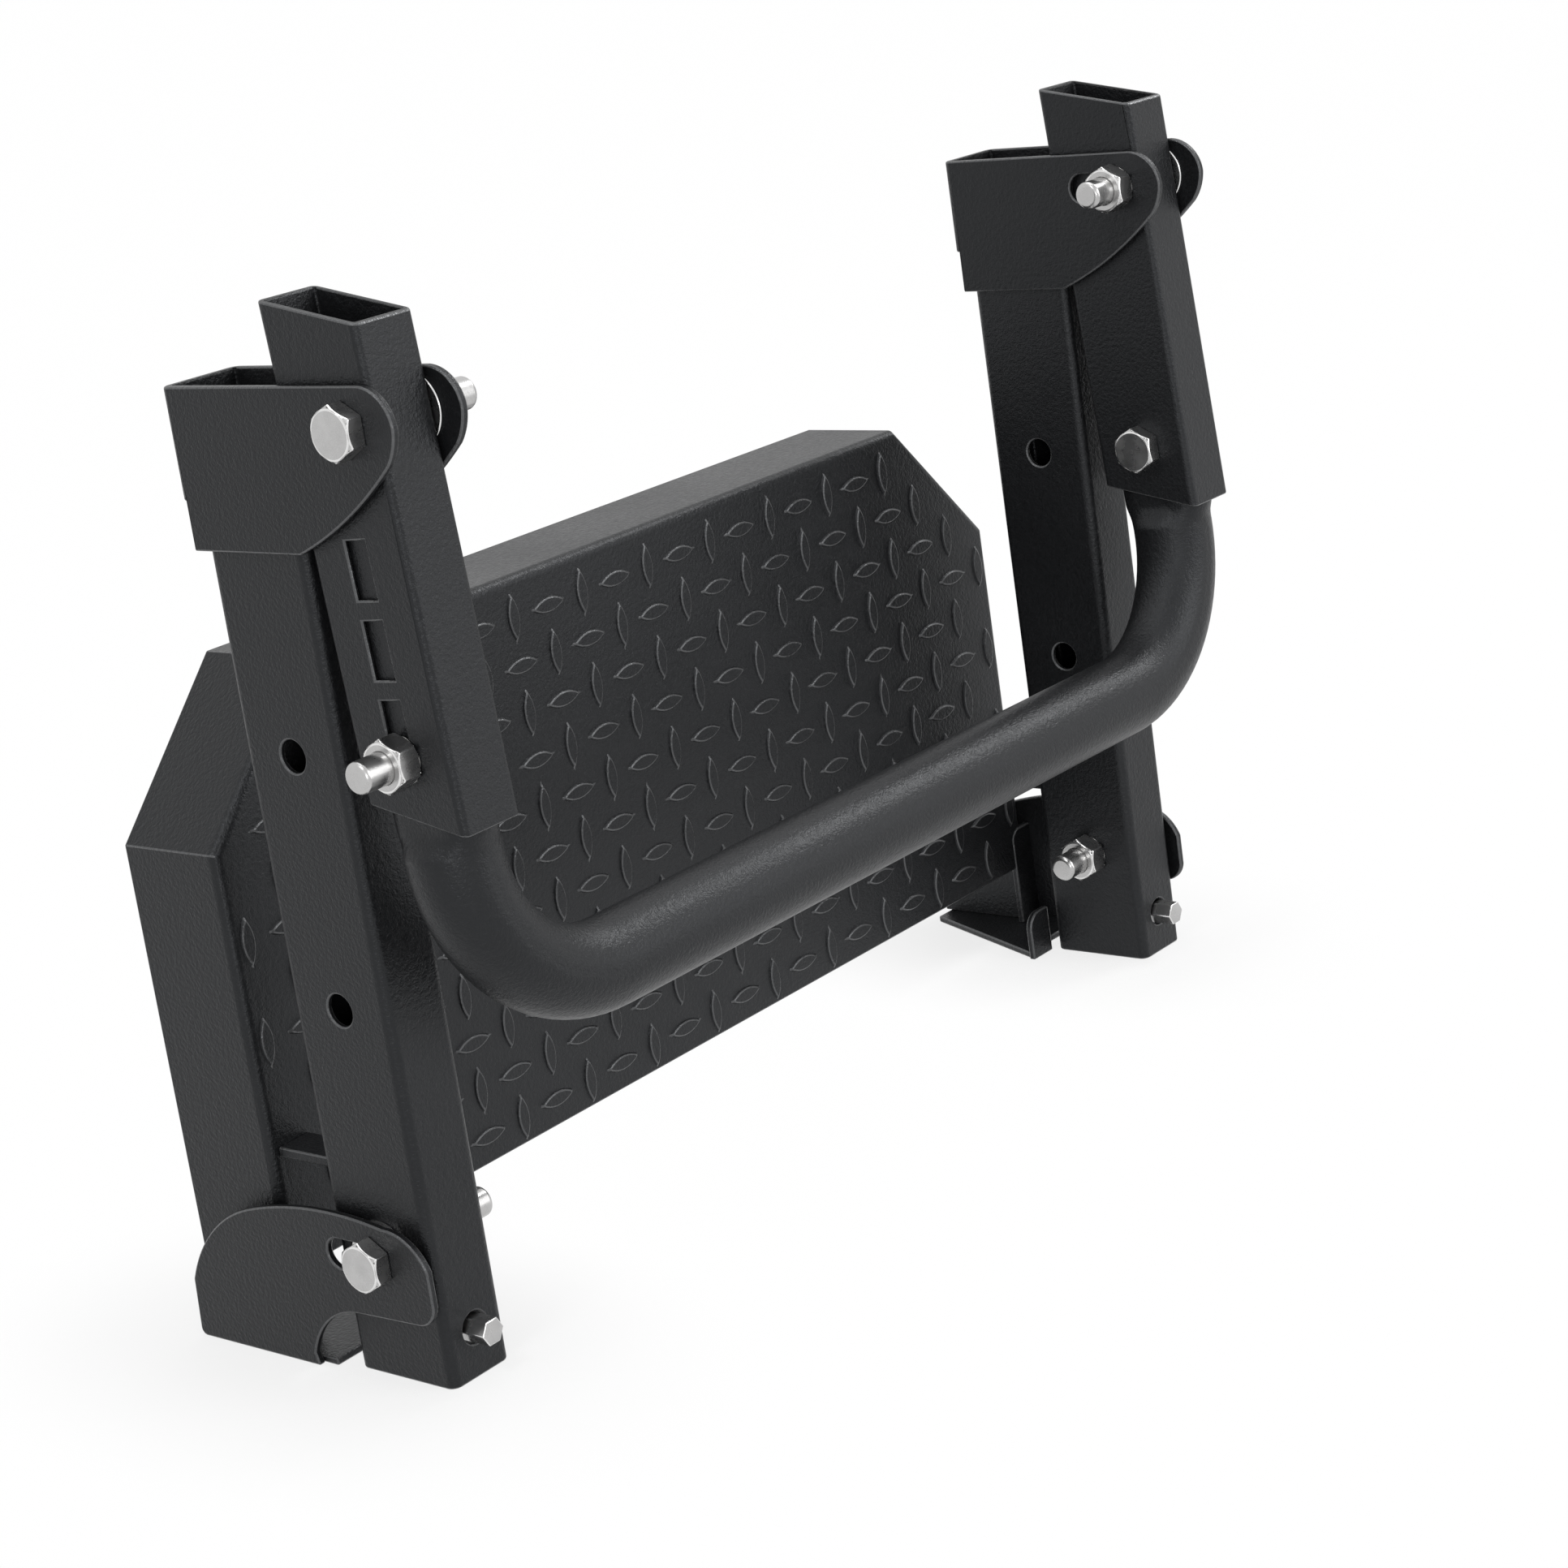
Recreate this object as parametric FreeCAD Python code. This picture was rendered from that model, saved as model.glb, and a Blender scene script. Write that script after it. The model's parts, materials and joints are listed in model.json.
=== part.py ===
import FreeCAD, Part
import math
import os

# Folding tyre step, millimetres. X runs across the step, -Y is the tyre side, +Z is up.
# The pieces are made with X = 0 the middle plane, Y = 0 the middle of the legs and Z = 0 the
# ground. They are then moved along Y, so that the origin is the middle of the footprint.

V = FreeCAD.Vector
X_AXIS = V(1, 0, 0)
Y_AXIS = V(0, 1, 0)
Z_AXIS = V(0, 0, 1)
ORIGIN = V(0, 0, 0)

# How far a cutter runs past what it cuts
past = 1.0

# Legs
leg_past_deck = 3.0
leg_width = 30.0
leg_depth = 50.0
leg_wall = 2.5
leg_corner = 4.0
hinge_height = 50.0
hinge_hole_pitch = 96.0
hinge_hole_count = 3

# Fasteners
bolt_d = 12.0
bolt_hole_clearance = 0.3
running_clearance = 0.05
hex_across_flats = 18.0
bolt_head_height = 7.5
nut_height = 10.0
bolt_end_stands_out = 12.5
bolt_end_round = 2.0
hex_chamfer_drop = 1.4
hex_face_share = 0.97

# Arm pivot on top of the legs
bracket_plate = 3.0
pivot_height = 361.0
pivot_over_leg = 20.0
pivot_to_arm_back = 35.2
arm_back_gap = 1.0
bracket_top_over_pivot = 15.0
bracket_nose = 22.7
bracket_nose_start = 6.0
bracket_shoulder_reach = 18.4
bracket_shoulder_rise = 10.3
bracket_chin_reach = 17.2
bracket_chin_drop = 12.7
bracket_throat_back = 4.5
bracket_throat_drop = 29.3
bracket_throat_end = 1.5
bracket_depth_under_pivot = 44.0
bracket_back_under_pivot = 26.0
bracket_back_gap = 3.0
bracket_fold_radius = 4.0
pivot_slot_length = 17.5
pivot_sleeve_wall = 2.0
thrust_washer_width = 5.0
thrust_washer_slack = 0.05
arm_swing_clearance = 1.2
arm_rest_clearance = 0.4

# Arms
arm_width = 28.0
arm_depth = 46.0
arm_wall = 2.0
arm_corner = 3.0
arm_lean = 3.6
arm_end_cut = 14.5
arm_top = 40.1
arm_bottom = 138.3
arm_slot_count = 3
arm_slot_width = 10.0
arm_slot_height = 21.0
arm_slot_pitch = 28.3
arm_slot_last_over_bolt = 10.4

# Hoop
hoop_d = 35.0
hoop_wall = 2.5
hoop_bend_radius = 62.0
hoop_bolt_over_arm_end = 22.3
hoop_end_clearance = 0.3
hoop_end_top = 30.0
hoop_neck_under_arm = 3.2
hoop_neck_length = 13.0
hoop_neck_lead = 2.0
hoop_side_turn = 40.0

# Platform
deck_offset = 57.5
deck_half_width = 244.0
deck_top_half_width = 188.0
deck_bottom = 31.0
deck_corner = 198.5
deck_top = 259.0
tray_depth = 51.0
tray_sheet = 2.5
tray_fold_radius = 4.0

# Tread
tread_pitch = 20.5
tread_length = 22.0
tread_width = 7.0
tread_height = 1.0
tread_slope = 0.7
tread_root = 0.4
tread_top_row = 17.0
tread_edge_margin = 0.3

# Hinge ears and bearing feet of the platform
ear_plate = 3.0
ear_gap = 3.0
ear_nose = 28.0
ear_nose_straight = 14.0
ear_over_hinge = 16.0
ear_under_hinge = 22.3
ear_brow = 7.0
ear_brow_drop = 2.0
ear_brow_corner = 6.5
ear_brow_corner_drop = 6.8
ear_chin = 10.0
ear_chin_corner = 3.1
ear_chin_corner_drop = 19.8
ear_under_back = 14.0
ear_under_sag = 1.1
ear_notch_back = 33.5
ear_notch_height = 18.5
ear_heel = 41.0
ear_heel_lip = 1.5
ear_heel_height = 5.0
ear_heel_round = 3.0
ear_back_height = 24.0
ear_back_lean = 1.5
ear_shoulder_inset = 17.5
ear_shoulder_drop = 3.8
ear_crown_inset = 42.5
ear_crown_drop = 6.0
ear_crown = 31.0
ear_slot_length = 18.5
web_top = 50.0
web_round = 6.0
web_reach = 8.0
web_seat_gap = 0.1
foot_sheet = 3.0
foot_front = 34.0
foot_toe_front = 27.0
foot_toe_width = 15.0
foot_toe_gap = 1.0
foot_lip_height = 22.0
foot_lip_round = 8.0
foot_back_inset = 2.5
foot_back_width = 18.0
hinge_spacer_width = 8.0
hinge_sleeve_wall = 2.4

# Levelling screws in the feet, and the tabs of the tray that meet their tips
levelling_screw_height = 19.0
levelling_screw_flats = 9.5
levelling_screw_stands_out = 9.5
levelling_screw_hex_length = 17.0
levelling_screw_hole = 12.5
levelling_screw_d = 8.0
levelling_screw_past_back = 2.0
levelling_nut_flats = 13.0
levelling_nut_height = 6.5
stop_tab_plate = 4.0
stop_tab_width = 16.0
stop_tab_past_screw = 4.0
stop_tab_slack = 0.3

# Places worked out from the driving sizes
leg_height = pivot_height - pivot_over_leg
leg_outer_x = deck_half_width + leg_past_deck
leg_inner_x = leg_outer_x - leg_width
leg_mid_x = leg_outer_x - leg_width / 2
leg_front_y = -leg_depth / 2
leg_back_y = leg_depth / 2
lean_sin = math.sin(math.radians(arm_lean))
lean_cos = math.cos(math.radians(arm_lean))
back_run = (leg_height - pivot_height + pivot_to_arm_back * lean_sin) / lean_cos
pivot_y = leg_front_y - arm_back_gap - back_run * lean_sin - pivot_to_arm_back * lean_cos
arm_outer_x = leg_mid_x + arm_width / 2
arm_inner_x = leg_mid_x - arm_width / 2
arm_mid_q = pivot_to_arm_back - arm_depth / 2
arm_front_q = pivot_to_arm_back - arm_depth
end_cut_rise = arm_depth / 2 * math.tan(math.radians(arm_end_cut))
bracket_bottom = pivot_height - bracket_depth_under_pivot
bracket_back_wall_bottom = pivot_height - bracket_back_under_pivot
hoop_bolt_drop = arm_bottom - hoop_bolt_over_arm_end
hoop_neck_top = arm_bottom + hoop_neck_under_arm
hoop_bend_top = hoop_neck_top + hoop_neck_length
hoop_drop = hoop_bend_top + hoop_bend_radius
ear_top = hinge_height + ear_over_hinge
ear_under = hinge_height - ear_under_hinge
plate_outer_x = leg_outer_x + bracket_plate
plate_inner_x = leg_inner_x - bracket_plate
ear_inner_x = leg_outer_x + ear_gap
ear_outer_x = ear_inner_x + ear_plate
bolt_hole_d = bolt_d + 2 * bolt_hole_clearance
pivot_sleeve_d = bolt_d + 2 * running_clearance + 2 * pivot_sleeve_wall
hoop_end_width = arm_width - 2 * arm_wall - 2 * hoop_end_clearance
hoop_end_depth = arm_depth - 2 * arm_wall - 2 * hoop_end_clearance
tray_back_y = deck_offset + tray_depth
web_inner_x = deck_half_width - web_reach
stop_tab_inner_x = leg_mid_x - stop_tab_width / 2
stop_tab_under = hinge_height + leg_back_y + levelling_screw_past_back + stop_tab_slack
stop_tab_over = stop_tab_under + stop_tab_plate
footprint_middle_y = (tray_back_y + pivot_y - bracket_nose) / 2


def block(x0, x1, y0, y1, z0, z1):
    return Part.makeBox(x1 - x0, y1 - y0, z1 - z0, V(x0, y0, z0))


def rod(diameter, x0, x1, y, z):
    """Round bar along X from x0 to x1."""
    low, high = min(x0, x1), max(x0, x1)
    return Part.makeCylinder(diameter / 2, high - low, V(low, y, z), X_AXIS)


def ring(outer_d, inner_d, x0, x1, y, z):
    return rod(outer_d, x0, x1, y, z).cut(rod(inner_d, x0, x1, y, z))


def polygon_face(points):
    return Part.Face(Part.makePolygon(points + [points[0]]))


def ring_face(outer, inner):
    """Flat face between two closed wires of one plane."""
    return Part.Face(outer).cut(Part.Face(inner)).Faces[0]


def arc(start, middle, end):
    return Part.Arc(start, middle, end).toShape()


def line(start, end):
    return Part.LineSegment(start, end).toShape()


def rounded_rectangle(width, depth, radius, z):
    """Closed wire in a plane of constant Z, centred on the Z axis."""
    a, b = width / 2, depth / 2
    c = radius * (1 - math.sqrt(0.5))
    corners = [(1, 1), (-1, 1), (-1, -1), (1, -1)]
    edges = []
    ends = []
    for index, (sx, sy) in enumerate(corners):
        on_side = V(sx * a, sy * (b - radius), z)
        on_face = V(sx * (a - radius), sy * b, z)
        middle = V(sx * (a - c), sy * (b - c), z)
        first, last = (on_side, on_face) if index % 2 == 0 else (on_face, on_side)
        ends.append((first, last))
        edges.append(arc(first, middle, last))
    wire_edges = []
    for index in range(4):
        wire_edges.append(edges[index])
        wire_edges.append(line(ends[index][1], ends[(index + 1) % 4][0]))
    return Part.Wire(wire_edges)


def rectangular_tube(width, depth, wall, corner, z0, z1):
    inner_corner = max(corner - wall, 0.4)
    outer = rounded_rectangle(width, depth, corner, z0)
    inner = rounded_rectangle(width - 2 * wall, depth - 2 * wall, inner_corner, z0)
    return ring_face(outer, inner).extrude(V(0, 0, z1 - z0))


def hexagon_bar(flats, x0, x1, y, z):
    """Hexagonal bar along X with a corner on top."""
    radius = flats / math.sqrt(3)
    points = []
    for index in range(6):
        angle = math.radians(30 + 60 * index)
        points.append(V(x0, y + radius * math.cos(angle), z + radius * math.sin(angle)))
    return polygon_face(points).extrude(V(x1 - x0, 0, 0))


def chamfered_hexagon(flats, x0, x1, y, z, chamfer_both):
    """Hexagon whose corners are turned off at the x1 end, and at x0 too if asked."""
    sign = 1 if x1 > x0 else -1
    corner_radius = flats / math.sqrt(3) + running_clearance
    flat_radius = flats / 2 * hex_face_share
    drop = hex_chamfer_drop
    profile = [V(x0, 0, 0)]
    if chamfer_both:
        profile.append(V(x0, flat_radius, 0))
        profile.append(V(x0 + sign * drop, corner_radius, 0))
    else:
        profile.append(V(x0, corner_radius, 0))
    profile.append(V(x1 - sign * drop, corner_radius, 0))
    profile.append(V(x1, flat_radius, 0))
    profile.append(V(x1, 0, 0))
    turned = polygon_face(profile).revolve(ORIGIN, X_AXIS, 360)
    turned.translate(V(0, y, z))
    return hexagon_bar(flats, x0, x1, y, z).common(turned)


def round_end(shape, x_end, radius):
    """Round the rim of a bar's end face at x_end."""
    rims = [edge for edge in shape.Edges if abs(edge.BoundBox.XMin - x_end) < 1e-4
            and abs(edge.BoundBox.XMax - x_end) < 1e-4]
    return shape.makeFillet(radius, rims)


def hex_bolt(head_face_x, head_sign, end_x, y, z):
    """Bolt along X: the head stands out from head_face_x, the plain end is at end_x."""
    head_top = head_face_x + head_sign * bolt_head_height
    head = chamfered_hexagon(hex_across_flats, head_face_x, head_top, y, z, False)
    shank = round_end(rod(bolt_d, head_face_x, end_x, y, z), end_x, bolt_end_round)
    return head.fuse(shank).removeSplitter()


def hex_nut(face_x, sign, y, z):
    far_x = face_x + sign * nut_height
    body = chamfered_hexagon(hex_across_flats, face_x, far_x, y, z, True)
    return body.cut(rod(bolt_d + 2 * running_clearance, face_x, far_x, y, z))


def slot_bar(height, length, x0, x1, y_front, z):
    """Oblong bar along X. Its front round is centred on y_front and it runs back by length."""
    bar = rod(height, x0, x1, y_front, z).fuse(rod(height, x0, x1, y_front + length, z))
    return bar.fuse(block(x0, x1, y_front, y_front + length, z - height / 2, z + height / 2))


def place_on_arm(shape):
    """From arm axes (X, q backwards, s up the arm, from the pivot) to the step's axes."""
    placed = shape.copy()
    placed.rotate(ORIGIN, X_AXIS, -arm_lean)
    placed.translate(V(0, pivot_y, pivot_height))
    return placed


def to_left(shape):
    return shape.mirror(ORIGIN, X_AXIS)


# Legs
def leg_tube():
    tube = rectangular_tube(leg_width, leg_depth, leg_wall, leg_corner, 0, leg_height)
    tube.translate(V(leg_mid_x, 0, 0))
    for index in range(hinge_hole_count):
        height = hinge_height + index * hinge_hole_pitch
        tube = tube.cut(rod(bolt_hole_d, leg_inner_x - past, leg_outer_x + past, 0, height))
    # The front of the top is cut down so that the arm swings over it and lands on it.
    top_back_corner = math.hypot(pivot_to_arm_back, arm_top + end_cut_rise)
    sweep = rod(2 * (top_back_corner + arm_swing_clearance),
                leg_inner_x - past, leg_outer_x + past, pivot_y, pivot_height)
    landing = pivot_height - pivot_to_arm_back - arm_rest_clearance
    above = block(leg_inner_x - past, leg_outer_x + past, leg_front_y - past, leg_back_y,
                  landing, leg_height + past)
    tube = tube.cut(sweep.common(above))
    front_hole = Part.makeCylinder(levelling_screw_hole / 2, leg_wall + 2 * past,
                                   V(leg_mid_x, leg_front_y - past, levelling_screw_height), Y_AXIS)
    back_hole = Part.makeCylinder(levelling_screw_d / 2 + running_clearance, leg_wall + 2 * past,
                                  V(leg_mid_x, leg_back_y - leg_wall - past, levelling_screw_height), Y_AXIS)
    return tube.cut(front_hole).cut(back_hole)


# Folded bracket on top of each leg, open to the front
def arm_bracket():
    top = pivot_height + bracket_top_over_pivot
    back = leg_back_y + bracket_back_gap + bracket_plate
    front = pivot_y - bracket_nose
    wide = plate_outer_x - plate_inner_x
    section_depth = back - front + 2 * bracket_fold_radius
    height = top - bracket_bottom
    outer = Part.Face(rounded_rectangle(wide, section_depth, bracket_fold_radius, bracket_bottom))
    inner = Part.Face(rounded_rectangle(leg_width, section_depth - 2 * bracket_plate,
                                        bracket_fold_radius - bracket_plate, bracket_bottom))
    channel = outer.cut(inner).extrude(V(0, 0, height))
    channel.translate(V(leg_mid_x, back - section_depth / 2, 0))

    x0 = plate_inner_x - past
    nose_start = V(x0, pivot_y - bracket_nose_start, top)
    shoulder = V(x0, pivot_y - bracket_shoulder_reach, pivot_height + bracket_shoulder_rise)
    nose_tip = V(x0, front, pivot_height)
    chin = V(x0, pivot_y - bracket_chin_reach, pivot_height - bracket_chin_drop)
    chin_middle = V(x0, (nose_tip.y + chin.y) / 2 - bracket_nose_start / 5, (nose_tip.z + chin.z) / 2)
    throat = V(x0, pivot_y + bracket_throat_back, pivot_height - bracket_throat_drop)
    throat_end = V(x0, leg_front_y - bracket_throat_end, bracket_bottom)
    bottom_back = V(x0, back - bracket_plate, bracket_bottom)
    step_low = V(x0, back - bracket_plate, bracket_back_wall_bottom)
    step_high = V(x0, back, bracket_back_wall_bottom)
    top_back = V(x0, back, top)
    outline = Part.Wire([
        line(top_back, nose_start),
        arc(nose_start, shoulder, nose_tip),
        arc(nose_tip, chin_middle, chin),
        arc(chin, throat, throat_end),
        line(throat_end, bottom_back),
        line(bottom_back, step_low),
        line(step_low, step_high),
        line(step_high, top_back)])
    side = Part.Face(outline).extrude(V(wide + 2 * past, 0, 0))
    bracket = channel.common(side)
    outer_hole = rod(bolt_hole_d, leg_outer_x - past, plate_outer_x + past, pivot_y, pivot_height)
    inner_slot = slot_bar(bolt_hole_d, pivot_slot_length, plate_inner_x - past, leg_inner_x + past,
                          pivot_y, pivot_height)
    return bracket.cut(outer_hole).cut(inner_slot)


def arm_pivot_bolt():
    end_x = plate_inner_x - nut_height - bolt_end_stands_out
    return hex_bolt(plate_outer_x, 1, end_x, pivot_y, pivot_height)


def arm_pivot_nut():
    return hex_nut(plate_inner_x, -1, pivot_y, pivot_height)


def arm_pivot_sleeve():
    return ring(pivot_sleeve_d, bolt_d + 2 * running_clearance,
                leg_inner_x, leg_outer_x, pivot_y, pivot_height)


def arm_thrust_washers():
    bore = pivot_sleeve_d + 2 * running_clearance
    outer = bore + 2 * thrust_washer_width
    inboard = ring(outer, bore, leg_inner_x + thrust_washer_slack / 2,
                   arm_inner_x - thrust_washer_slack / 2, pivot_y, pivot_height)
    outboard = ring(outer, bore, arm_outer_x + thrust_washer_slack / 2,
                    leg_outer_x - thrust_washer_slack / 2, pivot_y, pivot_height)
    return Part.makeCompound([inboard, outboard])


# Arms: rectangular tube, both ends cut on the same slant
def arm_tube():
    tube = rectangular_tube(arm_width, arm_depth, arm_wall, arm_corner,
                            -arm_bottom - 2 * end_cut_rise, arm_top + 2 * end_cut_rise)
    tube.translate(V(leg_mid_x, arm_mid_q, 0))
    front, back = arm_front_q - past, pivot_to_arm_back + past
    slope = end_cut_rise / (arm_depth / 2)
    rise_front, rise_back = (front - arm_mid_q) * slope, (back - arm_mid_q) * slope
    x0 = arm_inner_x - past
    keep = polygon_face([V(x0, front, -arm_bottom + rise_front), V(x0, back, -arm_bottom + rise_back),
                         V(x0, back, arm_top + rise_back), V(x0, front, arm_top + rise_front)])
    tube = tube.common(keep.extrude(V(arm_width + 2 * past, 0, 0)))
    tube = tube.cut(rod(pivot_sleeve_d + 2 * running_clearance, arm_inner_x - past, arm_outer_x + past, 0, 0))
    tube = tube.cut(rod(bolt_hole_d, arm_inner_x - past, arm_outer_x + past, arm_mid_q, -hoop_bolt_drop))
    for index in range(arm_slot_count):
        middle = arm_slot_last_over_bolt + index * arm_slot_pitch - hoop_bolt_drop
        tube = tube.cut(block(arm_outer_x - arm_wall - past, arm_outer_x + past,
                              arm_mid_q - arm_slot_width / 2, arm_mid_q + arm_slot_width / 2,
                              middle - arm_slot_height / 2, middle + arm_slot_height / 2))
    return place_on_arm(tube)


# Hoop: round tube bent to a U, its two ends pressed flat to fit inside the arms
def end_section(half_flat, radius, z):
    """Oblong wire along q at height z. A round one has its short sides as arcs."""
    turn = math.radians(hoop_side_turn)
    side_x = radius if half_flat > 0 else radius * math.cos(turn)
    side_q = half_flat if half_flat > 0 else radius * math.sin(turn)
    corners = [V(side_x, side_q, z), V(-side_x, side_q, z), V(-side_x, -side_q, z), V(side_x, -side_q, z)]
    back_top = V(0, half_flat + radius, z)
    front_top = V(0, -half_flat - radius, z)
    if half_flat > 0:
        sides = [line(corners[1], corners[2]), line(corners[3], corners[0])]
    else:
        sides = [arc(corners[1], V(-radius, 0, z), corners[2]), arc(corners[3], V(radius, 0, z), corners[0])]
    return Part.Wire([arc(corners[0], back_top, corners[1]), sides[0],
                      arc(corners[2], front_top, corners[3]), sides[1]])


def hoop_end(inset):
    """Flat end and the neck that swells from it to the round tube, inset from its skin."""
    half_flat = (hoop_end_depth - hoop_end_width) / 2
    flat_radius = hoop_end_width / 2 - inset
    round_radius = hoop_d / 2 - inset
    flat_top = end_section(half_flat, flat_radius, -hoop_neck_top)
    straight = Part.Face(flat_top).extrude(V(0, 0, hoop_neck_top - hoop_end_top))
    neck = Part.makeLoft([flat_top,
                          end_section(half_flat, flat_radius, -hoop_neck_top - hoop_neck_lead),
                          end_section(0, round_radius, -hoop_bend_top + hoop_neck_lead),
                          end_section(0, round_radius, -hoop_bend_top)], True, False)
    return straight.fuse(neck)


def hoop():
    end = hoop_end(0).cut(hoop_end(hoop_wall))
    end.translate(V(leg_mid_x, arm_mid_q, 0))
    end = end.cut(rod(bolt_hole_d, arm_inner_x - past, arm_outer_x + past, arm_mid_q, -hoop_bolt_drop))

    middle = V(leg_mid_x, arm_mid_q, -hoop_bend_top)
    section = ring_face(Part.Wire(Part.makeCircle(hoop_d / 2, middle, Z_AXIS)),
                        Part.Wire(Part.makeCircle(hoop_d / 2 - hoop_wall, middle, Z_AXIS)))
    centre = V(leg_mid_x - hoop_bend_radius, arm_mid_q, -hoop_bend_top)
    bend = section.revolve(centre, Y_AXIS, 90)
    bar = ring(hoop_d, hoop_d - 2 * hoop_wall, 0, centre.x, arm_mid_q, -hoop_drop)
    half = end.fuse([bend, bar])
    whole = half.fuse(to_left(half)).removeSplitter()
    return place_on_arm(whole)


def hoop_bolt():
    end_x = arm_outer_x + nut_height + bolt_end_stands_out
    return place_on_arm(hex_bolt(arm_inner_x, -1, end_x, arm_mid_q, -hoop_bolt_drop))


def hoop_nut():
    return place_on_arm(hex_nut(arm_outer_x, 1, arm_mid_q, -hoop_bolt_drop))


# Platform: a folded tray whose checkered face is the tread
def tray_outline(inset, y, low):
    """Hexagonal face with the tray's slanted upper corners, inset from its edges."""
    slant = math.atan2(deck_top - deck_corner, deck_half_width - deck_top_half_width)
    corner_shift = inset * math.tan((math.pi / 2 - slant) / 2)
    top_shift = inset * math.tan(slant / 2)
    side = deck_half_width - inset
    corner_z = deck_corner - corner_shift
    top_x = deck_top_half_width - top_shift
    top_z = deck_top - inset
    return polygon_face([V(-side, y, low), V(side, y, low), V(side, y, corner_z),
                         V(top_x, y, top_z), V(-top_x, y, top_z), V(-side, y, corner_z)])


def front_rims(shape, y, above):
    rims = []
    for edge in shape.Edges:
        box = edge.BoundBox
        if abs(box.YMin - y) < 1e-4 and abs(box.YMax - y) < 1e-4 and box.ZMax > above + 1:
            rims.append(edge)
    return rims


def lens_wire(x, y, z, half_long, half_wide, upright):
    """Two arcs that meet in points, on the deck's face or parallel to it."""
    def at(u, v):
        return V(x + v, y, z + u) if upright else V(x + u, y, z + v)

    return Part.Wire([arc(at(half_long, 0), at(0, half_wide), at(-half_long, 0)),
                      arc(at(-half_long, 0), at(0, -half_wide), at(half_long, 0))])


def tread_lens(x, z, upright):
    """Low lens with sloping sides and a flat top, standing out from the deck's face."""
    half_long, half_wide = tread_length / 2, tread_width / 2
    top_share = 1 - tread_slope / half_wide
    root = lens_wire(x, deck_offset + tread_root, z, half_long, half_wide, upright)
    top = lens_wire(x, deck_offset - tread_height, z, half_long * top_share, half_wide * top_share, upright)
    return Part.makeLoft([root, top], True, True)


def under_a_piece(x, z, reach_x, reach_z):
    """Whether a lens would lie under a stop tab or a hinge web."""
    outer = abs(x) + reach_x
    on_tab = outer > stop_tab_inner_x and z + reach_z > stop_tab_under and z - reach_z < stop_tab_over
    on_web = outer > web_inner_x and z - reach_z < web_top
    return on_tab or on_web


def tread_places():
    """Checkerboard of upright and level lenses, kept off the folded edges."""
    slant_run = (deck_half_width - deck_top_half_width) / (deck_top - deck_corner)
    side_limit = deck_half_width - tray_fold_radius - tread_edge_margin
    columns = int(side_limit / tread_pitch) + 1
    first_row = deck_bottom + tread_length / 2 + tread_edge_margin
    last_row = deck_top - tread_top_row
    steps = round((last_row - first_row) / tread_pitch)
    places = []
    for row in range(steps + 1):
        z = last_row - row * (last_row - first_row) / steps
        for column in range(-columns, columns):
            x = (column + 0.5) * tread_pitch
            upright = (row + column) % 2 == 0
            reach_x = tread_width / 2 if upright else tread_length / 2
            reach_z = tread_length / 2 if upright else tread_width / 2
            limit = min(side_limit, side_limit - (z + reach_z - deck_corner) * slant_run)
            if abs(x) + reach_x <= limit and not under_a_piece(x, z, reach_x, reach_z):
                places.append((x, z, upright))
    return places


def hinge_web(gap):
    """Plate across the tray's lower corner, made larger by gap for its notch in the tray."""
    web_x = web_inner_x - gap
    web = block(web_x, ear_inner_x, deck_offset, deck_offset + ear_plate, foot_sheet, web_top + gap)
    corner = [edge for edge in web.Edges
              if edge.BoundBox.XMax < web_x + past and edge.BoundBox.ZMin > web_top - past]
    return web.makeFillet(web_round, corner)


def platform_tray():
    low = foot_sheet
    outer = tray_outline(0, deck_offset, low).extrude(V(0, tray_depth, 0))
    outer = outer.makeFillet(tray_fold_radius, front_rims(outer, deck_offset, low))
    hollow = tray_outline(tray_sheet, deck_offset + tray_sheet, low - past).extrude(V(0, tray_depth, 0))
    hollow = hollow.makeFillet(tray_fold_radius - tray_sheet,
                               front_rims(hollow, deck_offset + tray_sheet, low - past))
    tray = outer.cut(hollow)
    bend_x = deck_half_width - tray_fold_radius
    tray = tray.cut(block(-bend_x, bend_x, deck_offset - past, tray_back_y, 0, deck_bottom))
    notch = hinge_web(web_seat_gap)
    tray = tray.cut(notch).cut(to_left(notch))
    lenses = [tread_lens(x, z, upright) for x, z, upright in tread_places()]
    return tray.fuse(lenses)


def stop_tab():
    """Tab that stands behind the leg when the platform is level, against the screw's tip."""
    front = hinge_height - levelling_screw_height - stop_tab_past_screw
    return block(stop_tab_inner_x, stop_tab_inner_x + stop_tab_width, front, deck_offset,
                 stop_tab_under, stop_tab_over)


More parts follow.
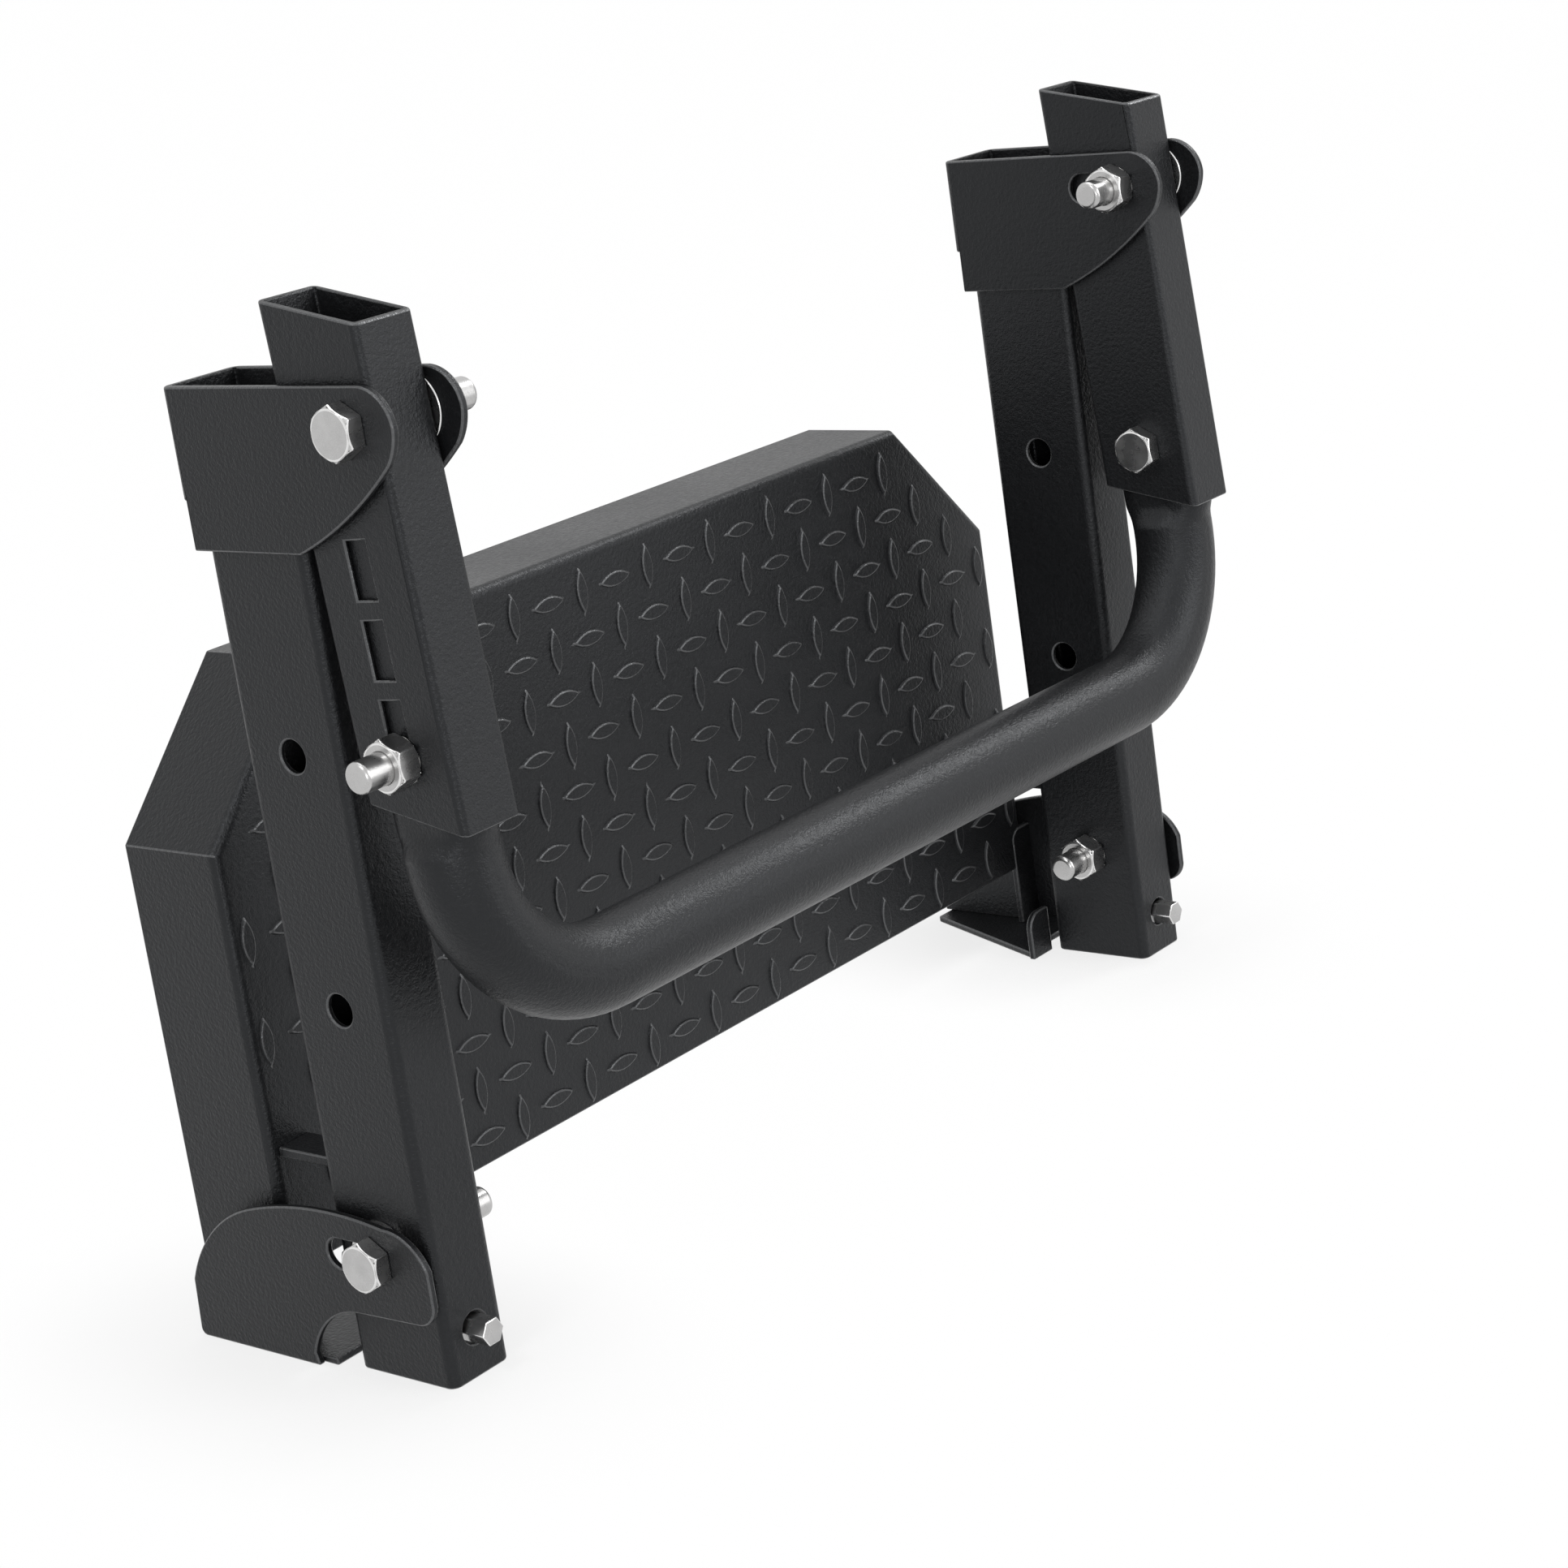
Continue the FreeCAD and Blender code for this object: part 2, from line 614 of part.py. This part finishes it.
# Hinge ear: a plate outside the leg with a web turned in across the tray's lower corner
def hinge_ear():
    def rim(behind, height):
        return V(ear_inner_x, behind, height)

    heel = rim(ear_heel, 0)
    heel_high = rim(ear_heel + ear_heel_lip, ear_heel_height)
    back_low = rim(tray_back_y - ear_heel_round, 0)
    back_round = rim(tray_back_y - ear_heel_round * (1 - math.sqrt(0.5)),
                     ear_heel_round * (1 - math.sqrt(0.5)))
    back_start = rim(tray_back_y, ear_heel_round)
    back_high = rim(tray_back_y - ear_back_lean, ear_back_height)
    shoulder = rim(tray_back_y - ear_shoulder_inset, hinge_height - ear_shoulder_drop)
    crown_back = rim(tray_back_y - ear_crown_inset, ear_top - ear_crown_drop)
    crown = rim(ear_crown, ear_top)
    brow = rim(-ear_brow, ear_top - ear_brow_drop)
    brow_corner = rim(-ear_nose + ear_brow_corner, ear_top - ear_brow_corner_drop)
    nose_high = rim(-ear_nose, hinge_height)
    nose_low = rim(-ear_nose, hinge_height - ear_nose_straight)
    chin_corner = rim(-ear_nose + ear_chin_corner, hinge_height - ear_chin_corner_drop)
    chin = rim(-ear_nose + ear_chin, ear_under)
    under = rim(ear_under_back, ear_under - ear_under_sag)
    notch = rim(ear_notch_back, ear_notch_height)
    outline = Part.Wire([
        line(heel, back_low),
        arc(back_low, back_round, back_start),
        line(back_start, back_high),
        arc(back_high, shoulder, crown_back),
        arc(crown_back, crown, brow),
        arc(brow, brow_corner, nose_high),
        line(nose_high, nose_low),
        arc(nose_low, chin_corner, chin),
        line(chin, under),
        arc(under, notch, heel_high),
        line(heel_high, heel)])
    ear = Part.Face(outline).extrude(V(ear_plate, 0, 0))
    slot = slot_bar(bolt_d + 2 * running_clearance, ear_slot_length,
                    ear_inner_x - past, ear_outer_x + past, 0, hinge_height)
    return ear.cut(slot).fuse(hinge_web(0)).removeSplitter()


# Bearing foot: a plate on the ground between ear and tray wall, with a turned-up toe
def bearing_foot():
    toe_outer_x = leg_inner_x - foot_toe_gap
    toe_inner_x = toe_outer_x - foot_toe_width
    back = tray_back_y - foot_back_inset
    sole = polygon_face([
        V(toe_inner_x, foot_toe_front, 0), V(toe_outer_x, foot_toe_front, 0),
        V(toe_outer_x, foot_front, 0), V(ear_inner_x, foot_front, 0),
        V(ear_inner_x, back, 0), V(ear_inner_x - foot_back_width, back, 0)]).extrude(V(0, 0, foot_sheet))
    lip = block(toe_inner_x, toe_outer_x, foot_toe_front, foot_toe_front + foot_sheet,
                0, foot_lip_height)
    corner = [edge for edge in lip.Edges
              if edge.BoundBox.XMax < toe_inner_x + past and edge.BoundBox.ZMin > foot_lip_height - past]
    lip = lip.makeFillet(foot_lip_round, corner)
    return sole.fuse(lip).removeSplitter()


def platform_pivot_bolt():
    end_x = leg_inner_x - nut_height - bolt_end_stands_out
    return hex_bolt(ear_outer_x, 1, end_x, 0, hinge_height)


def platform_pivot_nut():
    return hex_nut(leg_inner_x, -1, 0, hinge_height)


def hinge_spacer():
    bore = bolt_d + 2 * running_clearance
    return ring(bore + 2 * hinge_spacer_width, bore, leg_outer_x, ear_inner_x, 0, hinge_height)


def hinge_sleeve():
    bore = bolt_d + 2 * running_clearance
    return ring(bore + 2 * hinge_sleeve_wall, bore, leg_inner_x + leg_wall,
                leg_outer_x - leg_wall, 0, hinge_height)


# Levelling screw through each foot, in a nut welded to the back wall inside the tube
def levelling_screw():
    hex_front = leg_front_y - levelling_screw_stands_out
    radius = levelling_screw_flats / math.sqrt(3)
    points = []
    for index in range(6):
        angle = math.radians(60 * index)
        points.append(V(leg_mid_x + radius * math.cos(angle), hex_front,
                        levelling_screw_height + radius * math.sin(angle)))
    head = polygon_face(points).extrude(V(0, levelling_screw_hex_length, 0))
    shank_start = hex_front + levelling_screw_hex_length
    shank = Part.makeCylinder(levelling_screw_d / 2, leg_back_y + levelling_screw_past_back - shank_start,
                              V(leg_mid_x, shank_start, levelling_screw_height), Y_AXIS)
    return head.fuse(shank)


def levelling_nut():
    radius = levelling_nut_flats / math.sqrt(3)
    back = leg_back_y - leg_wall
    points = []
    for index in range(6):
        angle = math.radians(60 * index)
        points.append(V(leg_mid_x + radius * math.cos(angle), back - levelling_nut_height,
                        levelling_screw_height + radius * math.sin(angle)))
    body = polygon_face(points).extrude(V(0, levelling_nut_height, 0))
    bore = Part.makeCylinder(levelling_screw_d / 2 + running_clearance, levelling_nut_height + 2 * past,
                             V(leg_mid_x, back - levelling_nut_height - past, levelling_screw_height), Y_AXIS)
    return body.cut(bore)


sided_pieces = {
    "leg_tube": leg_tube,
    "arm_bracket": arm_bracket,
    "arm_pivot_bolt": arm_pivot_bolt,
    "arm_pivot_nut": arm_pivot_nut,
    "arm_pivot_sleeve": arm_pivot_sleeve,
    "arm_thrust_washers": arm_thrust_washers,
    "arm_tube": arm_tube,
    "hoop_bolt": hoop_bolt,
    "hoop_nut": hoop_nut,
    "hinge_ear": hinge_ear,
    "bearing_foot": bearing_foot,
    "stop_tab": stop_tab,
    "platform_pivot_bolt": platform_pivot_bolt,
    "platform_pivot_nut": platform_pivot_nut,
    "hinge_spacer": hinge_spacer,
    "hinge_sleeve": hinge_sleeve,
    "levelling_screw": levelling_screw,
    "levelling_nut": levelling_nut,
}


def export(name, shape):
    placed = shape.copy()
    placed.translate(V(0, -footprint_middle_y, 0))
    placed.exportStep("parts/" + name + ".step")


os.makedirs("parts", exist_ok=True)
for name, make in sided_pieces.items():
    right = make()
    export(name + "_right", right)
    export(name + "_left", to_left(right))
export("hoop", hoop())
export("platform_tray", platform_tray())
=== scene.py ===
import json
import math
import bmesh
import bpy
import numpy as np
from mathutils import Matrix, Vector


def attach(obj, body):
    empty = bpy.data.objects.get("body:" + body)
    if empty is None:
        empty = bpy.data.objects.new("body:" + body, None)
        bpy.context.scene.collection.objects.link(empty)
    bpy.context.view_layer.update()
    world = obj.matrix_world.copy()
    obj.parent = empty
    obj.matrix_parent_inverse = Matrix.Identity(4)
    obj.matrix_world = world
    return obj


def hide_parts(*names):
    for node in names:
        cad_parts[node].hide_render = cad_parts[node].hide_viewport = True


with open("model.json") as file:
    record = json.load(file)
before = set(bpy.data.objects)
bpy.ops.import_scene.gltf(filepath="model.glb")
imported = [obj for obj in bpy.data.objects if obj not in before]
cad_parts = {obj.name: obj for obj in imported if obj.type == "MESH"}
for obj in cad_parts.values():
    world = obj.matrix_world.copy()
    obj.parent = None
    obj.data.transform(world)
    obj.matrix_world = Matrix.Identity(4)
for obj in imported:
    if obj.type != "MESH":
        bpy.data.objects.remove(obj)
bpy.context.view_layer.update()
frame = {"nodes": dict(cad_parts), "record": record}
nodes = frame["nodes"]
print("frame loaded:", len(nodes), "pieces")


# a socket that can stand in Python sums, so that cloud * 0.4 adds its own Math node
class Wire:
    def __init__(self, sheet, socket):
        self.sheet = sheet
        self.socket = socket

    def __add__(self, other):
        return self.sheet.maths("ADD", self, other)

    def __sub__(self, other):
        return self.sheet.maths("SUBTRACT", self, other)

    def __mul__(self, other):
        return self.sheet.maths("MULTIPLY", self, other)


# the node tree of one material, or of the sky
class Sheet:
    def __init__(self, owner):
        owner.use_nodes = True
        self.owner = owner
        self.tree = owner.node_tree
        self.tree.nodes.clear()

    # a node of one kind: its settings first, then the values or wires of its sockets, each called by its
    # name with _ for a space, or by i and its number where sockets share a name
    def node(self, kind, settings=None, **sockets):
        made = self.tree.nodes.new(kind)
        for name, value in (settings or {}).items():
            setattr(made, name, value)
        for name, value in sockets.items():
            numbered = name[0] == "i" and name[1:].isdigit()
            socket = made.inputs[int(name[1:]) if numbered else name.replace("_", " ")]
            if isinstance(value, Wire):
                self.tree.links.new(value.socket, socket)
            else:
                socket.default_value = value
        return made

    def wire(self, kind, output=0, settings=None, **sockets):
        return Wire(self, self.node(kind, settings, **sockets).outputs[output])

    def maths(self, operation, first, second):
        return self.wire("ShaderNodeMath", 0, {"operation": operation}, i0=first, i1=second)

    def vectors(self, operation, output=0, **sockets):
        return self.wire("ShaderNodeVectorMath", output, {"operation": operation}, **sockets)

    def place(self):
        return self.wire("ShaderNodeTexCoord", "Object")

    def noise(self, place, scale, detail):
        return self.wire("ShaderNodeTexNoise", "Fac", Vector=place, Scale=scale, Detail=detail)

    # the Mix node's colours are its inputs 6 and 7 and its output 2
    def tint(self, factor, low, high):
        return self.wire("ShaderNodeMix", 2, {"data_type": "RGBA"}, i0=factor, i6=(*low, 1), i7=(*high, 1))

    # 1 for the rays that look straight at a thing or see it mirrored, 0 for the light it throws
    def looking(self):
        path = self.node("ShaderNodeLightPath")
        rays = ("Is Camera Ray", "Is Glossy Ray", "Is Transmission Ray")
        camera, glossy, transmission = (Wire(self, path.outputs[kind]) for kind in rays)
        return self.maths("MINIMUM", camera + glossy + transmission, 1.0)

    def finish(self, shader, outlet="ShaderNodeOutputMaterial"):
        out = self.tree.nodes.new(outlet)
        self.tree.links.new(shader.socket, out.inputs["Surface"])
        return self.owner


def blend(wires, shares):
    total = wires[0] * shares[0]
    for wire, share in zip(wires[1:], shares[1:]):
        total = total + wire * share
    return total


# cloud is the broad unevenness of the coat, peel its ripples and grain its powder, each a noise with its
# scale per metre and its detail
coatLook = {
    "cloud": (16.0, 4.0),
    "peel": (620.0, 2.0),
    "grain": (1700.0, 1.0),
    "dark": (0.0012, 0.0013, 0.0015),
    "light": (0.0130, 0.0134, 0.0146),
    "colourShares": (0.4, 0.3, 0.3),     # of cloud, peel and grain
    "roughness": 0.39,
    "roughnessSpread": 0.34,
    "roughnessShares": (0.4, 0.6),       # of cloud and peel
    "heights": (0.00042, 0.00022),       # of peel and grain
    "bump": 0.7,
    "sheen": 0.30,                       # how strongly the coat mirrors, 0.5 being plain plastic
    "sheenTint": (0.93, 0.96, 1.0),
}

# the same coat on its rounded edges: rubbed thinner and smoother, and a lighter grey that is partly wear and
# partly painted highlight
wornAndHighlitLook = coatLook | {
    "dark": (0.014, 0.0142, 0.015),
    "light": (0.095, 0.0955, 0.097),
    "roughness": 0.30,
    "sheen": 0.60,
}


def powderCoat(name, look):
    sheet = Sheet(bpy.data.materials.new(name))
    place = sheet.place()
    cloud, peel, grain = (sheet.noise(place, *look[kind]) for kind in ("cloud", "peel", "grain"))
    bump = sheet.wire("ShaderNodeBump", Height=blend((peel, grain), look["heights"]),
                      Strength=look["bump"], Distance=1.0)
    colour = sheet.tint(blend((cloud, peel, grain), look["colourShares"]), look["dark"], look["light"])
    uneven = blend((cloud, peel), look["roughnessShares"]) - 0.5
    shader = sheet.wire("ShaderNodeBsdfPrincipled", Base_Color=colour, Normal=bump,
                        Roughness=uneven * look["roughnessSpread"] + look["roughness"],
                        Specular_IOR_Level=look["sheen"], Specular_Tint=(*look["sheenTint"], 1.0))
    return sheet.finish(shader)


# cloud is stains and handling, marks the fine lines of the stock
steelLook = {
    "cloud": (120.0, 3.0),
    "marks": (1900.0, 2.0),
    "dark": (0.34, 0.337, 0.334),
    "light": (0.60, 0.597, 0.593),
    "colourShares": (0.7, 0.3),          # of cloud and marks
    "roughness": 0.27,
    "roughnessSpread": 0.24,
    "markHeight": 0.00003,
    "bump": 0.5,
}

# the same steel on its rounded edges, lighter and smoother: turned and rubbed metal, and in part a painted
# highlight
turnedAndHighlitLook = steelLook | {"dark": (0.60, 0.597, 0.593), "light": (0.85, 0.847, 0.843), "roughness": 0.22}


def satinSteel(name, look):
    sheet = Sheet(bpy.data.materials.new(name))
    place = sheet.place()
    cloud, marks = (sheet.noise(place, *look[kind]) for kind in ("cloud", "marks"))
    bump = sheet.wire("ShaderNodeBump", Height=marks * look["markHeight"],
                      Strength=look["bump"], Distance=1.0)
    colour = sheet.tint(blend((cloud, marks), look["colourShares"]), look["dark"], look["light"])
    rough = (cloud - 0.5) * look["roughnessSpread"] + look["roughness"]
    shader = sheet.wire("ShaderNodeBsdfPrincipled", Base_Color=colour, Metallic=1.0,
                        Roughness=rough, Normal=bump)
    return sheet.finish(shader)


# the second finish of each pair goes on the rounded edges and is lighter, partly from wear and partly as
# painted highlight
coats = (powderCoat("powderCoat", coatLook), powderCoat("wornHighlitCoat", wornAndHighlitLook))
steels = (satinSteel("satinSteel", steelLook), satinSteel("turnedHighlitSteel", turnedAndHighlitLook))
steelWords = ("bolt", "nut", "sleeve", "washers", "screw", "spacer")
bodies = frame["record"]["behaviour"]["bodies"]
bodyOf = {node: body for body, held in bodies.items() for node in held}

# outward edges turning more than squareAngle are rounded to the radius in metres, and the rest above
# slopeAngle, such as the slopes of a tread mark, to a share of it
edgeRound = {
    "tray": {"radius": 0.0007, "squareAngle": 75.0, "slopeAngle": 30.0, "slopeShare": 0.6},
    "sheet": {"radius": 0.0007, "squareAngle": 35.0, "slopeAngle": 35.0, "slopeShare": 1.0},
    "steel": {"radius": 0.0004, "squareAngle": 28.0, "slopeAngle": 28.0, "slopeShare": 1.0},
}
meshCare = {
    "mergeWithin": 1e-6,      # metres between points that are made one
    "flatWithin": 0.5,        # degrees between faces that are made one
    "sharpAngle": 28.0,       # degrees from which an edge is shaded sharp
    "shortest": 0.0002,       # metres below which an edge isn't rounded
    "segments": 2,
}


# a merged copy of a CAD piece with its sharp edges rounded, standing for that piece; the rounded edges take
# a lighter second finish that is partly rubbed wear and partly painted highlight
def roundedCopy(name, finishes, setting):
    mesh = nodes[name].data.copy()
    work = bmesh.new()
    work.from_mesh(mesh)
    bmesh.ops.remove_doubles(work, verts=work.verts, dist=meshCare["mergeWithin"])
    bmesh.ops.dissolve_limit(work, angle_limit=math.radians(meshCare["flatWithin"]),
                             verts=work.verts, edges=work.edges)
    weight = work.edges.layers.float.new("bevel_weight_edge")
    for face in work.faces:
        face.smooth = True
    for edge in work.edges:
        turn = math.degrees(edge.calc_face_angle(0.0))
        longEnough = edge.calc_length() > meshCare["shortest"]
        if edge.is_convex and turn > setting["slopeAngle"] and longEnough:
            edge[weight] = 1.0 if turn > setting["squareAngle"] else setting["slopeShare"]
        edge.smooth = turn < meshCare["sharpAngle"]
    work.to_mesh(mesh)
    work.free()
    mesh.materials.clear()
    for finish in finishes:
        mesh.materials.append(finish)
    copy = bpy.data.objects.new(name + "_rounded", mesh)
    bpy.context.scene.collection.objects.link(copy)
    bevel = copy.modifiers.new("edges", "BEVEL")
    bevel.width = setting["radius"]
    bevel.segments = meshCare["segments"]
    bevel.limit_method = "WEIGHT"
    bevel.use_clamp_overlap = False
    bevel.loop_slide = False
    # the rounded edges take the second, lighter finish: partly real wear, partly painted highlight
    bevel.material = 1
    shading = copy.modifiers.new("shading", "WEIGHTED_NORMAL")
    shading.keep_sharp = True
    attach(copy, bodyOf[name])
    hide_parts(name)


for name in nodes:
    if any(word in name for word in steelWords):
        roundedCopy(name, steels, edgeRound["steel"])
    else:
        kind = "tray" if name == "platform_tray" else "sheet"
        roundedCopy(name, coats, edgeRound[kind])
print("finished pieces:", len(nodes))


stageLook = {
    "floorSize": 40.0,
    "floorShade": 0.93,
    "footPlace": (0.24, 0.03, 0.0),      # middle of one foot; the other is its mirror
    "footStretch": (1.0, 0.6, 1.0),
    "footShadow": (0.03, 0.12),          # metres from a foot over which its shadow is lost
    "shadowLoss": (0.76, 0.995),         # share of the shadow that is lost there
    "skyLight": 0.45,
}


# plain paper for the light it throws; where it is looked at or mirrored, the white sky shows through it but
# for the shadow at the feet, so a platform that is folded down, lower than the feet, is still seen
def paperFloor():
    look = stageLook
    sheet = Sheet(bpy.data.materials.new("paperFloor"))
    middle = np.multiply(look["footPlace"], look["footStretch"])
    flat = sheet.vectors("MULTIPLY_ADD", i0=sheet.place(), i1=look["footStretch"], i2=(0.0, -middle[1], 0.0))
    folded = sheet.vectors("ABSOLUTE", i0=flat)
    away = sheet.vectors("DISTANCE", "Value", i0=folded, i1=(middle[0], 0.0, 0.0))
    (near, far), (least, most) = look["footShadow"], look["shadowLoss"]
    loss = sheet.wire("ShaderNodeMapRange", 0, {"interpolation_type": "SMOOTHSTEP"}, Value=away,
                      From_Min=near, From_Max=far, To_Min=least, To_Max=most)
    shade = look["floorShade"]
    paper = sheet.wire("ShaderNodeBsdfDiffuse", Color=(shade, shade, shade, 1))
    clear = sheet.wire("ShaderNodeBsdfTransparent", Color=(1, 1, 1, 1))
    return sheet.finish(sheet.wire("ShaderNodeMixShader", i0=sheet.looking() * loss, i1=paper, i2=clear))


def layFloor():
    half = stageLook["floorSize"] / 2
    corners = np.array([(-half, -half, 0), (half, -half, 0), (half, half, 0), (-half, half, 0)])
    mesh = bpy.data.meshes.new("floor")
    mesh.from_pydata(corners.tolist(), [], [(0, 1, 2, 3)])
    floor = bpy.data.objects.new("floor", mesh)
    bpy.context.scene.collection.objects.link(floor)
    mesh.materials.append(paperFloor())


# white where it is looked at or mirrored, and dimmer as a light
def lightSky():
    world = bpy.data.worlds.new("studioSky")
    bpy.context.scene.world = world
    sheet = Sheet(world)
    dim = stageLook["skyLight"]
    level = sheet.looking() * (1.0 - dim) + dim
    sky = sheet.wire("ShaderNodeBackground", Color=(1, 1, 1, 1), Strength=level)
    sheet.finish(sky, "ShaderNodeOutputWorld")


# each softbox: where it stands, what it faces, its sides in metres and its power in watts
softboxes = {
    "overhead": {"at": (0.1, 0.2, 2.0), "to": (0.0, 0.0, 0.0), "size": (1.3, 1.3), "watts": 8.0},
    "front": {"at": (0.6, -2.0, 1.1), "to": (0.0, 0.0, 0.15), "size": (1.2, 0.9), "watts": 16.0},
    "highLeft": {"at": (-1.25, -0.2, 1.55), "to": (0.2, 0.0, 0.2), "size": (0.4, 0.4), "watts": 6.0},
    "lowFront": {"at": (1.0, -2.0, 0.25), "to": (0.0, 0.0, 0.2), "size": (0.7, 0.7), "watts": 3.5},
    "highRight": {"at": (1.65, -0.5, 1.6), "to": (0.1, 0.0, 0.2), "size": (0.7, 0.7), "watts": 16.0},
    "overShoulder": {"at": (-1.9, -1.7, 0.55), "to": (0.0, 0.0, 0.2), "size": (0.5, 0.5), "watts": 10.0},
}


def hangSoftboxes():
    for name, box in softboxes.items():
        lamp = bpy.data.lights.new(name, "AREA")
        lamp.shape = "RECTANGLE"
        lamp.size, lamp.size_y = box["size"]
        lamp.energy = box["watts"]
        obj = bpy.data.objects.new(name, lamp)
        obj.location = box["at"]
        obj.rotation_euler = (Vector(box["to"]) - Vector(box["at"])).to_track_quat("-Z", "Y").to_euler()
        bpy.context.scene.collection.objects.link(obj)


# angles in degrees, distance in metres, lens and sensor in millimetres, shift in sensor widths
cameraSet = {
    "azimuth": -48.396,
    "elevation": 14.201,
    "roll": -8.473,
    "target": (0.0, -0.0129, 0.2),
    "distance": 1.38105,
    "lens": 77.486,
    "sensor": 36.0,
    "shift": (0.0216, -0.0691),
}


def placeCamera():
    setup = cameraSet
    turn, rise, roll = (math.radians(setup[key]) for key in ("azimuth", "elevation", "roll"))
    forward = Vector((-math.sin(turn) * math.cos(rise), math.cos(turn) * math.cos(rise), -math.sin(rise)))
    level = forward.cross(Vector((0, 0, 1))).normalized()
    upright = level.cross(forward)
    right = level * math.cos(roll) + upright * math.sin(roll)
    up = upright * math.cos(roll) - level * math.sin(roll)
    data = bpy.data.cameras.new("photoCamera")
    data.sensor_width = setup["sensor"]
    data.lens = setup["lens"]
    data.shift_x, data.shift_y = setup["shift"]
    camera = bpy.data.objects.new("photoCamera", data)
    turned = Matrix((right, up, -forward)).transposed().to_4x4()
    camera.matrix_world = Matrix.Translation(Vector(setup["target"]) - forward * setup["distance"]) @ turned
    bpy.context.scene.collection.objects.link(camera)
    bpy.context.scene.camera = camera


layFloor()
lightSky()
hangSoftboxes()
placeCamera()
bpy.context.scene.view_settings.view_transform = "Standard"
print("stage set")
